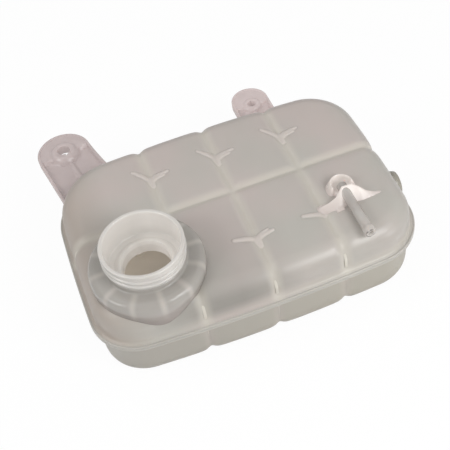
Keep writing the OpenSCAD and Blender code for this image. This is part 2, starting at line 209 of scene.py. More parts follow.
class PlasticLook(bpy.types.PropertyGroup):
    """Colours and finish of the plastic."""

    pillow: colour("Pillow", "Colour of the pillows' middle", (190, 180, 175))
    pillow_cool: colour("Pillow, cool", "Colour of the cooler patches", (182, 179, 172))
    groove: colour("Groove", "Colour along grooves and webs, where the plastic is thicker", (205, 200, 189))
    drum: colour("Drum", "Colour of the drum over its hollow", (170, 166, 160))
    ring: colour("Ring", "Colour of the dark ring round the nipple's end", (42, 48, 45))
    lip: colour("Lip", "Colour of the flange's lips", (182, 178, 171))
    gull: colour("Gull wings", "Colour of the gull-wing webs", (207, 199, 193))
    lower: colour("Lower half", "Colour of the lower half", (168, 163, 152))
    neck: colour("Neck", "Colour of the neck", (216, 212, 207))
    tab: colour("Tab", "Colour of the tabs", (202, 188, 186))
    # Painted shading: this darker colour is laid on the upper shell's shoulder and on the wall beside the drum, in
    # the pod's hollow, and on the lower shell under the weld and towards its left.
    painted_shade: colour("Shade", "Colour of the thin plastic over a deep hollow", (158, 154, 147))
    inside: colour("Inside", "Colour of the shells' inside", (196, 191, 187))
    glow: number("Glow", "Light that reaches the inside through the walls", 0.78)
    through: number("Through", "Light that comes through thin walls seen from inside", 0.24)
    # Painted shading in a warmer hue, laid on the end of the upper shell beside the neck.
    warm_end_shade: colour("Warm", "Colour of the warmer end beside the neck", (172, 160, 150))
    roughness: FloatProperty(name="Roughness", description="Roughness of the plastic", default=0.32, min=0, max=1)


class StageLook(bpy.types.PropertyGroup):
    """Camera and light, as in the reference view."""

    yaw: angle("Yaw", "Bearing of the view", 12.491)
    dip: angle("Dip", "How far the view looks down", 50.058)
    roll: angle("Roll", "Roll of the camera", -9.611)
    distance: length("Distance", "Depth of the neck's rim before the camera", 573.6)
    rim_u: number("Rim across", "Place of the rim's middle in the frame, in pixels", 140.7)
    rim_v: number("Rim down", "Place of the rim's middle in the frame, in pixels", 242.4)
    focal_px: number("Focal length", "Focal length in pixels", 876.5)
    frame_px: number("Frame", "Width and height of the frame, in pixels", 450)
    key: watts("Key", "Power of the softbox in front", 6)
    left: watts("Left", "Power of the softbox on the left", 3.4)
    right: watts("Right", "Power of the low softbox on the right", 1.4)
    fill: watts("Fill", "Power of the soft top light", 2.2)
    world: number("World", "Strength of the even light all round", 0.45)


class Wire:
    """A shader socket that takes part in Python arithmetic."""

    def __init__(self, tree, socket):
        self.tree = tree
        self.socket = socket

    def math(self, operation, *values):
        return self.tree.math(operation, *values)

    def __add__(self, other):
        return self.math("ADD", self, other)

    def __sub__(self, other):
        return self.math("SUBTRACT", self, other)

    def __mul__(self, other):
        return self.math("MULTIPLY", self, other)

    def __truediv__(self, other):
        return self.math("DIVIDE", self, other)

    def __rsub__(self, other):
        return self.math("SUBTRACT", other, self)

    def __rtruediv__(self, other):
        return self.math("DIVIDE", other, self)

    __radd__ = __add__
    __rmul__ = __mul__

    def __abs__(self):
        return self.math("ABSOLUTE", self)

    def least(self, other):
        return self.math("MINIMUM", self, other)

    def most(self, other):
        return self.math("MAXIMUM", self, other)

    def clamped(self):
        return self.least(1.0).most(0.0)

    def ramp(self, start, reach):
        """0 up to start and 1 from a reach further on. A reach below nothing runs the other way."""
        return ((self - start) / reach).clamped()

    def smooth(self):
        return self * self * (3 - 2 * self)


class Finish:
    """A material, or another thing with shader nodes, under construction."""

    def __init__(self, name, kind="materials"):
        self.material = getattr(bpy.data, kind).new(name)
        self.material.use_nodes = True
        self.nodes = self.material.node_tree.nodes
        self.links = self.material.node_tree.links
        self.nodes.clear()

    def node(self, kind, settings=None, values=(), output=0):
        """Makes a node: its settings first, then its sockets, by place or by name. Returns one output, by either."""
        made = self.nodes.new(kind)
        for name, value in (settings or {}).items():
            setattr(made, name, value)
        pairs = values.items() if isinstance(values, dict) else enumerate(values)
        for name, value in pairs:
            self.feed(made.inputs[name], value)
        return Wire(self, made.outputs[output]) if made.outputs else None

    def feed(self, socket, value):
        if isinstance(value, Wire):
            self.links.new(value.socket, socket)
        elif value is not None:
            socket.default_value = value

    def place(self):
        """The point's place on the object, as three wires in metres."""
        point = self.node("ShaderNodeTexCoord", output="Object")
        parts = self.node("ShaderNodeSeparateXYZ", values=[point])
        return point, [Wire(self, parts.socket.node.outputs[i]) for i in range(3)]

    def mix(self, share, first, second):
        """A blend of two colours."""
        settings = {"data_type": "RGBA", "clamp_factor": True}
        return self.node("ShaderNodeMix", settings, {0: share, 6: first, 7: second}, output=2)

    def math(self, operation, *values):
        return self.node("ShaderNodeMath", {"operation": operation}, values)

    def away(self, dx, dy):
        """Distance from an axis."""
        return self.math("SQRT", dx * dx + dy * dy)

    def noise(self, point, scale, detail=2.0):
        return self.node("ShaderNodeTexNoise", values={"Vector": point, "Scale": scale, "Detail": detail})

    def patches(self, point, scale):
        """Soft patches, from 0 to 1."""
        return self.noise(point, scale).ramp(0.35, 0.385)

    def uneven(self, point, value, scale, spread):
        """A value that wanders a little over the surface."""
        return value + (self.noise(point, scale) - 0.5) * spread

    def grain(self, point, scale, strength, detail=2.0):
        """The normal of a finely grained surface."""
        height = self.noise(point, scale, detail)
        return self.node("ShaderNodeBump", values={"Height": height, "Strength": strength, "Distance": GRAIN_DEPTH})

    def plastic(self, base, roughness, alpha, normal=None, scatter=0.25, glow=None, power=0.0):
        """The closing shader. The sockets that hold one value all over are set on it directly."""
        values = {
            "Base Color": base,
            "Roughness": roughness,
            "Alpha": alpha,
            "Normal": normal,
            "IOR": PLASTIC_IOR,
            "Subsurface Weight": scatter,
            "Subsurface Radius": (1.0, 0.9, 0.8),
            "Subsurface Scale": 0.004,
            "Emission Strength": power,
        }
        if glow is not None:
            values["Emission Color"] = glow
        shader = self.node("ShaderNodeBsdfPrincipled", values=values)
        self.node("ShaderNodeOutputMaterial", values=[shader])
        return self.material


def opaque(rgb, share=1.0):
    """A socket's colour, darkened to a share of itself."""
    return (*(share * v for v in rgb), 1.0)


def bearing(start, end):
    return math.atan2(end[1] - start[1], end[0] - start[0])


def turn(a0, a1):
    return (a1 - a0 + 3 * math.pi) % (2 * math.pi) - math.pi


def corner_middle(c1, r1, c2, r2, r, side):
    """The middle of a corner arc of radius r inside two larger arcs."""
    gap = math.dist(c1, c2)
    a, b = r1 - r, r2 - r
    along = (gap * gap + a * a - b * b) / (2 * gap)
    across = side * math.sqrt(a * a - along * along)
    dx, dy = (c2[0] - c1[0]) / gap, (c2[1] - c1[1]) / gap
    return c1[0] + along * dx - across * dy, c1[1] + along * dy + across * dx


class Outline:
    """The body's plan outline: four bowed sides and four corners, as arcs in the part's own frame."""

    def __init__(self, s):
        width = LOWER_HIGH.y - LOWER_LOW.y
        self.middle = (LOWER_LOW.x + s.length_over / 2, (LOWER_LOW.y + LOWER_HIGH.y) / 2)
        front = (0, s.long_bow - width / 2)
        back = (0, width / 2 - s.long_bow)
        left = (s.short_bow - s.length_over / 2, 0)
        right = (s.length_over / 2 - s.short_bow, 0)
        big, small = s.long_bow, s.short_bow
        front_left = corner_middle(front, big, left, small, s.front_left, -1)
        back_left = corner_middle(back, big, left, small, s.back_left, 1)
        front_right = corner_middle(front, big, right, small, s.front_right, 1)
        back_right = corner_middle(back, big, right, small, s.back_right, -1)
        self.arcs = [
            self.side(front, big, front_left, front_right),
            self.corner(front_right, s.front_right, front, right),
            self.side(right, small, front_right, back_right),
            self.corner(back_right, s.back_right, right, back),
            self.side(back, big, back_right, back_left),
            self.corner(back_left, s.back_left, back, left),
            self.side(left, small, back_left, front_left),
            self.corner(front_left, s.front_left, left, front),
        ]

    @staticmethod
    def side(c, r, start, end):
        return c, r, bearing(c, start), turn(bearing(c, start), bearing(c, end))

    @staticmethod
    def corner(c, r, start, end):
        return c, r, bearing(start, c), turn(bearing(start, c), bearing(end, c))

    def columns(self, step):
        """Points round the outline: arc middles, radii and directions, as arrays."""
        middles, radii, angles = [], [], []
        for c, r, start, sweep in self.arcs:
            count = max(2, round(r * sweep / step))
            for i in range(count):
                middles.append((c[0] + self.middle[0], c[1] + self.middle[1]))
                radii.append(r)
                angles.append(start + sweep * i / count)
        angles = np.array(angles)
        return np.array(middles), np.array(radii), np.stack([np.cos(angles), np.sin(angles)], 1)

    def inset(self, x, y):
        """How far points lie inside the outline."""
        px, py = np.asarray(x) - self.middle[0], np.asarray(y) - self.middle[1]
        depth = np.full(np.shape(px), np.inf)
        for c, r, start, sweep in self.arcs[0::2]:
            depth = np.minimum(depth, r - np.hypot(px - c[0], py - c[1]))
        for c, r, start, sweep in self.arcs[1::2]:
            swing = (np.arctan2(py - c[1], px - c[0]) - start) % (2 * math.pi)
            depth = np.where(swing <= sweep, r - np.hypot(px - c[0], py - c[1]), depth)
        return depth


def grooves_at(x, y, outline, g):
    """Depth of the pillow grid's grooves at points in plan."""
    left = np.ones(np.shape(x))
    gaps = [x - outline.middle[0] - g.first_x - i * g.pitch for i in range(3)]
    for gap in (*gaps, y - outline.middle[1] - g.long_y):
        left = left * (1 - (1 + (gap / g.half_width) ** 2) ** -1.5)
    return g.depth * (1 - left)


def bulge_at(x, y, outline, g):
    """Height of the pillows' crown at points in plan, nothing at the grooves and at the shoulder."""
    along = (x - outline.middle[0] - g.first_x) / g.pitch % 1.0
    across = (y - outline.middle[1] - g.long_y) / (1.9 * g.gull_pitch)
    edge = smooth_step((outline.inset(x, y) - 12 * MM) / (22 * MM))
    return g.bulge * 4 * along * (1 - along) * np.clip(4 * np.abs(across) * (1 - np.abs(across)), 0, 1) * edge


def shoulder_inset(s, high, radius):
    """Inset of the middle of the shoulder arc."""
    return s.flange + (radius + (high - radius) * math.sin(s.draft)) / math.cos(s.draft)


def side_rows(s, high, radius):
    """Rows of a shell's side, from inside the lip over fillet, wall and shoulder: inset, height and normal."""
    rows = []
    fillet = s.foot_fillet
    wall_in = s.flange + (s.lip + fillet) * math.tan(s.draft)
    rows.append((wall_in - fillet, s.lip / 2, 1.0, 0.0))
    for i in range(5):
        swing = math.pi / 2 * i / 5
        rows.append((
            wall_in - fillet * (1 - math.sin(swing)), s.lip + fillet * (1 - math.cos(swing)),
            math.sin(swing), math.cos(swing),
        ))
    middle = shoulder_inset(s, high, radius)
    wall_top = high - radius + radius * math.sin(s.draft)
    wall_steps = max(2, round((wall_top - s.lip - fillet) / s.mesh_step))
    for i in range(wall_steps):
        z = s.lip + fillet + (wall_top - s.lip - fillet) * i / wall_steps
        rows.append((s.flange + z * math.tan(s.draft), z, math.cos(s.draft), math.sin(s.draft)))
    arc_steps = round(radius * math.pi / 2 / s.mesh_step)
    for i in range(arc_steps + 1):
        a = s.draft + (math.pi / 2 - s.draft) * i / arc_steps
        rows.append((middle - radius * math.cos(a), high - radius + radius * math.sin(a), math.cos(a), math.sin(a)))
    return rows


def smooth_step(v):
    v = np.clip(v, 0, 1)
    return v * v * (3 - 2 * v)


def shell_mesh(name, s, g, outline, high, radius, up, hole=None):
    """A shell with a grooved outside and an inside that follows it one wall below.
    up is 1 for the upper shell and -1 for the lower one, and hole is (x, y, radius) of an open circle in its top."""
    middles, radii, out = outline.columns(s.mesh_step)
    count = len(radii)
    rows = side_rows(s, high, radius)
    wall_ease = g.upper_ease if up > 0 else g.lower_ease
    outer, inner = [], []
    for k, (inset, z, nr, nz) in enumerate(rows):
        plan = middles + (radii - inset)[:, None] * out
        depth = grooves_at(plan[:, 0], plan[:, 1], outline, g)
        depth = depth * smooth_step((z - s.lip) / (2 * s.foot_fillet))
        depth = depth * (1 - g.top_ease * max(nz, 0) ** 2)
        depth = depth * (1 - wall_ease * (1 - max(nz, 0)) ** 2)
        point = np.column_stack([plan - out * (nr * depth)[:, None], z - nz * depth])
        outer.append(point)
        deep = np.column_stack([point[:, :2] - out * nr * s.wall, point[:, 2] - nz * s.wall])
        if z < s.lip + s.foot_fillet:
            back = inset - s.flange - s.wall
            deep = np.column_stack([plan + out * back, np.full(count, 0.0 if k == 0 else z)])
        inner.append(deep)
    edge = middles + (radii - rows[-1][0])[:, None] * out
    centre = np.array(outline.middle)
    top_steps = round(0.4 * (LOWER_HIGH.y - LOWER_LOW.y) / s.mesh_step)
    for i in range(1, top_steps):
        plan = centre + (edge - centre) * (1 - i / top_steps)
        depth = grooves_at(plan[:, 0], plan[:, 1], outline, g) * (1 - g.top_ease)
        if hole is not None:
            depth = depth - bulge_at(plan[:, 0], plan[:, 1], outline, g)
        outer.append(np.column_stack([plan, high - depth]))
        inner.append(np.column_stack([plan, high - depth - s.wall]))
    total = len(outer)
    tip_depth = float(grooves_at(centre[0], centre[1], outline, g)) * (1 - g.top_ease)
    skin = np.vstack(outer + [[[*centre, high - tip_depth]]])
    lining = np.vstack(inner + [[[*centre, high - tip_depth - s.wall]]])
    index = np.arange(total * count).reshape(total, count)
    side = np.roll(index, -1, axis=1)
    quads = np.stack([index[:-1], side[:-1], side[1:], index[1:]], -1).reshape(-1, 4)
    fan = np.column_stack([index[-1], side[-1], np.full(count, total * count)])
    faces = []
    for face in [*quads.tolist(), *fan.tolist()]:
        if hole is not None:
            reach = [math.hypot(skin[v][0] - hole[0], skin[v][1] - hole[1]) for v in face]
            if min(reach) < hole[2]:
                continue
        faces.append(face)
    points = np.vstack([skin, lining])
    points[:, 2] = WELD_Z + up * points[:, 2]
    return mesh_object(name, points, thick_sheet(faces, len(skin)), lining=len(faces))


def open_edges(faces, offset):
    """Faces that join the open edges of a sheet to those of its copy, whose points come offset later."""
    seen = {}
    for face in faces:
        for a, b in zip(face, face[1:] + face[:1]):
            key = (min(a, b), max(a, b))
            seen[key] = None if key in seen else (a, b)
    return [[b, a, a + offset, b + offset] for edge in seen.values() if edge for a, b in [edge]]


def thick_sheet(faces, offset, seam=None):
    """A closed skin from a sheet and its copy, whose points come offset later: sheet, sides, copy. No side stands on
    an edge between two points of the seam."""
    sides = open_edges(faces, offset)
    if seam is not None:
        sides = [q for q in sides if not (seam[q[0]] and seam[q[1]])]
    return faces + sides + [[v + offset for v in reversed(face)] for face in faces]


def grid_quads(shape):
    """Quads between the points of a grid, as an array."""
    index = np.arange(shape[0] * shape[1]).reshape(shape)
    return np.stack([index[:-1, :-1], index[:-1, 1:], index[1:, 1:], index[1:, :-1]], -1).reshape(-1, 4)


def prism_faces(first, count):
    """Faces of a prism whose two ends are loops of count points."""
    far = first + count
    ends = [[first + i for i in range(count)], [far + i for i in reversed(range(count))]]
    return ends + [[first + i, first + (i + 1) % count, far + (i + 1) % count, far + i] for i in range(count)]


def linked(name, data):
    """A new object in the scene."""
    made = bpy.data.objects.new(name, data)
    bpy.context.scene.collection.objects.link(made)
    return made


def mesh_object(name, points, faces, smooth_angle=None, lining=0):
    """A new piece from points and faces, with its loose points removed and its faces turned outwards.
    The last faces, lining of them, take the second material."""
    mesh = bpy.data.meshes.new(name)
    mesh.from_pydata([tuple(p) for p in points], [], [tuple(int(v) for v in f) for f in faces])
    shape = bmesh.new()
    shape.from_mesh(mesh)
    bmesh.ops.delete(shape, geom=[v for v in shape.verts if not v.link_faces], context="VERTS")
    bmesh.ops.recalc_face_normals(shape, faces=shape.faces)
    for i, face in enumerate(shape.faces):
        face.smooth = True
        face.material_index = int(i >= len(faces) - lining)
    if smooth_angle is not None:
        for edge in shape.edges:
            edge.smooth = edge.calc_face_angle(0.0) < smooth_angle
    shape.to_mesh(mesh)
    shape.free()
    return linked(name, mesh)


def tube_faces(rows, count, closed):
    """Quads between rings of count points; closed joins the last ring to the first."""
    index = np.arange(rows * count).reshape(rows, count)
    after = np.roll(index, -1, axis=0) if closed else index[1:]
    index = index if closed else index[:-1]
    return np.stack([index, np.roll(index, -1, 1), np.roll(after, -1, 1), after], -1).reshape(-1, 4).tolist()


def rounded(points, steps=5):
    """A closed section of (x, y, radius) corners as points, each corner rounded by its radius."""
    out = []
    for i, (x, y, r) in enumerate(points):
        here = Vector((x, y))
        before, after = Vector(points[i - 1][:2]), Vector(points[(i + 1) % len(points)][:2])
        if r <= 0:
            out.append((x, y))
            continue
        a, b = (before - here).normalized(), (after - here).normalized()
        opening = a.angle(b)
        reach = min(r / math.tan(opening / 2), 0.48 * (before - here).length, 0.48 * (after - here).length)
        start, end = here + a * reach, here + b * reach
        for k in range(steps + 1):
            t = k / steps
            point = start * (1 - t) ** 2 + here * (2 * t * (1 - t)) + end * t ** 2
            out.append(tuple(point))
    return out


def turned(name, section, count=128, smooth_angle=None):
    """A closed section of (radius, height), turned about Z."""
    rings = []
    for r, z in section:
        a = np.arange(count) * 2 * math.pi / count
        rings.append(np.column_stack([r * np.cos(a), r * np.sin(a), np.full(count, z)]))
    return mesh_object(name, np.vstack(rings), tube_faces(len(section), count, True), smooth_angle)


def hose_end(name, bore, tube, crest, reach, bead, count):
    """A bored hose end along Z with its retaining bead."""
    fine = 0.5 * MM
    corners = [
        (bore, 0, 0), (tube, 0, 0), (tube, reach - bead, fine), (crest, reach - 0.75 * bead, fine),
        (crest, reach - 0.5 * bead, fine), (tube, reach, fine), (bore, reach, fine),
    ]
    return turned(name, rounded(corners, 4), count)


def settle(piece, material, node, slot):
    """Gives a piece its finish and its place in the frame."""
    piece.data.materials.append(material)
    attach(piece, "root")
    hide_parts(node)
    return piece


def moved(piece, matrix):
    piece.data.transform(matrix)
    return piece


# How far the rim of a gull-wing web lies under the pillow, so that the web rises out of it without a step.
GULL_SUNK = 0.3 * MM
# How deep the underside of a web lies in the shell's wall.
GULL_DEPTH = 1.2 * MM
# The web that runs on into the left wing of the pod: its groove and its side of the long groove.
HALF_GULL = (2, -1)
# Arms of the gull-wing webs behind (1) and before (-1) the long groove: tip and root in millimetres from the
# crossing of the web and its groove, and half the width at either end. The webs are GULL_UNIT wide in all.
GULL_UNIT = 26
GULL_ARMS = {
    1: (
        (-10.6, 5.2, -1, -4.5, 1.9, 3.4), (-8, 1.2, -0.5, -5.5, 1.3, 3.2), (14, -4.2, 1.5, -6, 1.9, 3.6),
        (11, -6.8, 1, -7.5, 1.3, 3.2), (0, -6, 0.4, -13, 4.2, 2.6),
    ),
    -1: (
        (-15, -3.4, -1, -6.6, 2.3, 3.6), (12.8, -5.4, 1.5, -7, 1.9, 3.6), (9.8, -3.2, 1, -6, 1.3, 3),
        (0, -7, 0.8, -14, 4.4, 2.6),
    ),
}


def clamped(v):
    return v.clamped() if isinstance(v, Wire) else np.clip(v, 0, 1)


def gull_share(x, y, side, arms=None):
    """How far up the crest of a gull-wing web a point stands, from 0 to 1, for arrays and for wires."""
    share = None
    for x0, y0, x1, y1, tip, root in GULL_ARMS[side][:arms]:
        dx, dy = x1 - x0, y1 - y0
        along = clamped(((x - x0) * dx + (y - y0) * dy) * (1 / (dx * dx + dy * dy)))
        ax, ay = x - x0 - along * dx, y - y0 - along * dy
        wide = tip + along * (root - tip)
        arm = clamped(1 - (ax * ax + ay * ay) / (wide * wide))
        if share is None:
            share = arm
        else:
            share = share.most(arm) if isinstance(share, Wire) else np.maximum(share, arm)
    return share


def shell_plastic(name, look, s, g, outline, tone, alpha, up, gulls=False):
    """Plastic of the shells: lighter where grooves and webs make it thicker, in soft patches of warmer and cooler
    tone.
    The upper shell carries painted shading on its shoulder, deepest at the front beside the drum, and on its end
    beside the neck, and grows lighter towards the weld, partly as painted light; the lower shell carries painted
    shading just under the weld and towards its left. up is 1 for the upper shell and -1 for the lower.
    With gulls, the arms of the gull-wing webs are lighter too."""
    f = Finish(name)
    point, (x, y, z) = f.place()
    middle_x, middle_y = outline.middle
    lines = [x - (middle_x + g.first_x + i * g.pitch) for i in range(3)]
    lines.append(y - (middle_y + g.long_y))
    near = abs(lines[0])
    for line in lines[1:]:
        near = near.least(abs(line))
    band = near.ramp(7 * MM, -7 * MM).smooth()
    if up > 0:
        base = f.mix(f.noise(point, 16, 1.5).ramp(0.36, 0.294), opaque(tone), opaque(look.pillow_cool))
        high = (z - WELD_Z) / s.crown
        front = y.ramp(middle_y, -80 * MM)
        left = x.ramp(middle_x + 49.5 * MM, -110 * MM)
        end = x.ramp(middle_x - 81 * MM, -30 * MM)
        beside_drum = abs(x - middle_x + 28 * MM).ramp(55.2 * MM, -46 * MM) * front
        # Painted shading in a warmer hue on the end beside the neck.
        base = f.mix(end * 0.8, base, opaque(look.warm_end_shade))
        # Painted shading on the shoulder, deepest at the front beside the drum.
        shoulder = abs(high - 0.6).ramp(0.48, -0.4) * (0.2 + front * 0.2 + beside_drum * 0.6)
        base = f.mix(shoulder, base, opaque(look.painted_shade))
        # Deeper painted shading on the wall beside the drum.
        wall = abs(high - 0.65).ramp(0.65, -0.5)
        base = f.mix(wall * beside_drum * 0.55, base, opaque(look.painted_shade, 0.65))
        # Lighter towards the weld: partly the thicker plastic at the flange, partly painted light, weaker on the
        # darker front left.
        foot = high.ramp(0.35, -0.35) * (0.6 - 0.3 * left) * (1 - beside_drum * 0.6)
        base = f.mix(foot, base, opaque(look.groove))
        base = f.mix(band * 0.62, base, opaque(look.groove))
    else:
        high = (WELD_Z - z) / WELD_Z
        left = x.ramp(middle_x + 56 * MM, -140 * MM)
        # Painted shading just under the weld flange and towards the left.
        base = f.mix(high.ramp(0.25, -0.25) * 0.5 + left * 0.6, opaque(tone), opaque(look.painted_shade))
        base = f.mix(band * 0.3, base, opaque(look.pillow))
    if gulls:
        off = f.math("WRAP", lines[0], g.pitch / 2, -g.pitch / 2) / MM
        back, front = (gull_share(off, (lines[3] - side * g.gull_pitch) / MM, side) for side in (1, -1))
        base = f.mix(back.most(front).ramp(0.25, 0.6).smooth() * 0.85, base, opaque(look.gull))
    rough = f.uneven(point, look.roughness, 60, 0.12)
    if up > 0:
        rough = rough + left * 0.08 + beside_drum * 0.2
    return f.plastic(base, rough, alpha, f.grain(point, 900, 0.06, 3.0))


def plain_plastic(name, look, tone, alpha, roughness, scale=30, power=0.0):
    """Plastic of the smaller pieces, with a soft change of tone. With power, it glows in that tone: painted light."""
    f = Finish(name)
    point, _ = f.place()
    base = f.mix(f.patches(point, scale), opaque(tone), opaque(tone, 0.9))
    rough = f.uneven(point, roughness, 80, 0.1)
    return f.plastic(base, rough, alpha, f.grain(point, 1100, 0.05), glow=base, power=power)


def neck_plastic(look, at, mouth):
    """Plastic of the neck: its inside is lit through the wall, and its foot takes on the drum's tone."""
    f = Finish("neck plastic")
    point, (x, y, z) = f.place()
    dx, dy = x - at.x, y - at.y
    base = f.mix(f.patches(point, 30), opaque(look.neck), opaque(look.neck, 0.92))
    foot = z.ramp(WELD_Z + 42 * MM, -8 * MM)
    base = f.mix(foot * 0.25, base, opaque(look.drum))
    inside = f.away(dx, dy).ramp(mouth + 0.6 * MM, -0.6 * MM)
    lit = inside * (0.6 + (dx / mouth).most(0.0) * 0.9)
    glow = f.mix(lit, BLACK, opaque(look.neck))
    rough = f.uneven(point, look.roughness - 0.1, 80, 0.08)
    return f.plastic(base, rough, 0.88, f.grain(point, 800, 0.06), glow=glow, power=look.through)


def pod_plastic(look, pod):
    """Plastic of the vent's pod: lighter along its crests, painted shading in its hollow, and a faint painted glow.
    """
    f = Finish("pod plastic")
    point, (x, y, z) = f.place()
    base = f.mix(z.ramp(pod.z, 5 * MM), opaque(look.pillow), opaque(look.gull))
    # Painted shading in the pod's hollow.
    hollow = f.away(x - pod.x - 2 * MM, y - pod.y - 3.5 * MM).ramp(5.4 * MM, -4.5 * MM)
    base = f.mix(hollow * 0.8, base, opaque(look.painted_shade))
    rough = f.uneven(point, look.roughness - 0.06, 80, 0.1)
    # The emission is a painted glow in the pod's own colour.
    return f.plastic(base, rough, 0.92, f.grain(point, 700, 0.08), glow=base, power=0.28)


def nipple_plastic(look, h, tip):
    """Plastic of the vent nipple, with a dark broken ring round the end of its bore."""
    f = Finish("vent plastic")
    point, (x, y, z) = f.place()
    base = f.mix(f.patches(point, 60), opaque(look.neck), opaque(look.gull))
    end = y.ramp(tip.y + 0.9 * MM, -0.5 * MM)
    ring = end * abs(f.away(x - tip.x, z - tip.z) - 0.9 * h.vent_tube).ramp(1.1 * MM, -1.1 * MM)
    broken = f.noise(point, 260, 1.0).ramp(0.42, 0.143)
    base = f.mix(ring * broken * 0.85, base, opaque(look.ring))
    return f.plastic(base, 0.2, 0.6, f.grain(point, 900, 0.05))


def drum_plastic(look, n, at):
    """Plastic of the drum: its ribs show through it as lighter bands with soft edges."""
    f = Finish("drum plastic")
    point, (x, y, z) = f.place()
    dx, dy = x - at.x, y - at.y
    away = f.away(dx, dy)
    step = 2 * math.pi / n.ribs
    off = f.math("PINGPONG", f.math("ARCTAN2", dy, dx) + 4 * math.pi, step / 2) * away
    band = off.ramp(3.6 * MM, -3.6 * MM).smooth() * away.ramp(n.outer, 2 * MM)
    base = f.mix(band * (0.15 + f.noise(point, 30) * 0.6), opaque(look.drum), opaque(look.gull))
    foot = z.ramp(WELD_Z + 31 * MM, -14 * MM)
    base = f.mix(foot, base, opaque(look.pillow))
    rough = f.uneven(point, look.roughness - 0.13, 70, 0.06)
    return f.plastic(base, rough, 0.92, f.grain(point, 500, 0.06))


def glow_plastic(name, look):
    """The inside of the shells, lit by the light that their walls let through."""
    f = Finish(name)
    point, _ = f.place()
    base = f.mix(f.noise(point, 25).ramp(0.3, 0.5), opaque(look.inside), opaque(look.inside, 0.85))
    shader = f.node("ShaderNodeBsdfPrincipled", values={
        "Base Color": base, "Roughness": 0.6, "IOR": PLASTIC_IOR, "Emission Color": base,
        "Emission Strength": look.glow,
    })
    f.node("ShaderNodeOutputMaterial", values=[shader])
    return f.material


def sizes():
    scene = bpy.context.scene
    return scene.tank_body, scene.tank_grooves, Outline(scene.tank_body), scene.tank_look


class TANK_OT_upper_shell(bpy.types.Operator):
    """Build the pillowed upper shell, open under the drum"""

    bl_idname = "tank.upper_shell"
    bl_label = "Upper Shell"

    def execute(self, context):
        s, g, outline, look = sizes()
        neck = context.scene.tank_neck
        at = place_of("filler_neck")
        hole = (at.x, at.y, neck.drum - s.wall + 0.1 * MM)
        piece = shell_mesh("upper_skin", s, g, outline, s.crown, s.shoulder, 1, hole)
        plastic = shell_plastic("upper plastic", look, s, g, outline, look.pillow, 0.94, 1)
        settle(piece, plastic, *UPPER)
        piece.data.materials.append(glow_plastic("upper lining", look))
        return {"FINISHED"}


class TANK_OT_lower_shell(bpy.types.Operator):
    """Build the pillowed lower shell"""

    bl_idname = "tank.lower_shell"
    bl_label = "Lower Shell"

    def execute(self, context):
        s, g, outline, look = sizes()
        piece = shell_mesh("lower_skin", s, g, outline, WELD_Z, s.foot, -1)
        plastic = shell_plastic("lower plastic", look, s, g, outline, look.lower, 0.94, -1)
        settle(piece, plastic, *LOWER)
        piece.data.materials.append(glow_plastic("lower lining", look))
        return {"FINISHED"}


class TANK_OT_flange(bpy.types.Operator):
    """Build the two lips of the weld flange"""

    bl_idname = "tank.flange"
    bl_label = "Weld Flange"

    def execute(self, context):
        s, _, outline, look = sizes()
        plastic = plain_plastic("lip plastic", look, look.lip, 0.96, 0.3)
        for name, part, up in (("upper_lip", UPPER, 1), ("lower_lip", LOWER, -1)):
            inner = s.flange + s.wall / 2
            edge = 0.8 * MM
            section = rounded([(inner, 0, 0), (0, 0, edge), (0, s.lip, edge), (inner, s.lip, 0)], 4)
            middles, radii, out = outline.columns(s.mesh_step)
            rings = [
                np.column_stack([middles + (radii - i)[:, None] * out, np.full(len(radii), WELD_Z + up * z)])
                for i, z in section
            ]
            piece = mesh_object(name, np.vstack(rings), tube_faces(len(section), len(radii), True))
            settle(piece, plastic, *part)
        return {"FINISHED"}


def web_section(s, high, radius):
    """One end of a baffle web, let into wall and top by half their thickness: (inset, height)."""
    half = s.wall / 2
    middle = shoulder_inset(s, high, radius)
    points = [(s.flange + half, 0.0)]
    for i in range(9):
        a = s.draft + (math.pi / 2 - s.draft) * i / 8
        points.append((middle - (radius - half) * math.cos(a), high - radius + (radius - half) * math.sin(a)))
    return points


class TANK_OT_baffles(bpy.types.Operator):
    """Build the baffle webs inside both shells"""

    bl_idname = "tank.baffles"
    bl_label = "Baffles"

    def execute(self, context):
        s, g, outline, look = sizes()
        plastic = plain_plastic("baffle plastic", look, look.groove, 1.0, 0.5)
        width = LOWER_HIGH.y - LOWER_LOW.y
        for name, part, high, radius, up in (
            ("upper_baffles", UPPER, s.crown, s.shoulder, 1), ("lower_baffles", LOWER, WELD_Z, s.foot, -1),
        ):
            end = [(i, z - g.depth * min(1, z / high)) for i, z in web_section(s, high, radius)]
            parts = []
            for k in range(3):
                reach = width / 2 - (g.first_x + k * g.pitch) ** 2 / (2 * s.long_bow)
                place = Matrix.Translation((outline.middle[0] + g.first_x + k * g.pitch, outline.middle[1], 0))
                parts.append((reach, place))
            turned_web = Matrix.Translation((*outline.middle, 0)) @ Matrix.Translation((0, g.long_y, 0))
            parts.append((s.length_over / 2, turned_web @ Matrix.Rotation(-math.pi / 2, 4, "Z")))
            points, faces = [], []
            for reach, place in parts:
                loop = [(-reach + i, z) for i, z in end] + [(reach - i, z) for i, z in reversed(end)]
                first = len(points)
                for side in (-1, 1):
                    for y, z in loop:
                        points.append(place @ Vector((side * g.baffle / 2, y, WELD_Z + up * z)))
                faces += prism_faces(first, len(loop))
            piece = mesh_object(name, points, faces, math.radians(30))
            windows(piece, g, outline)
            settle(piece, plastic, *part)
        return {"FINISHED"}


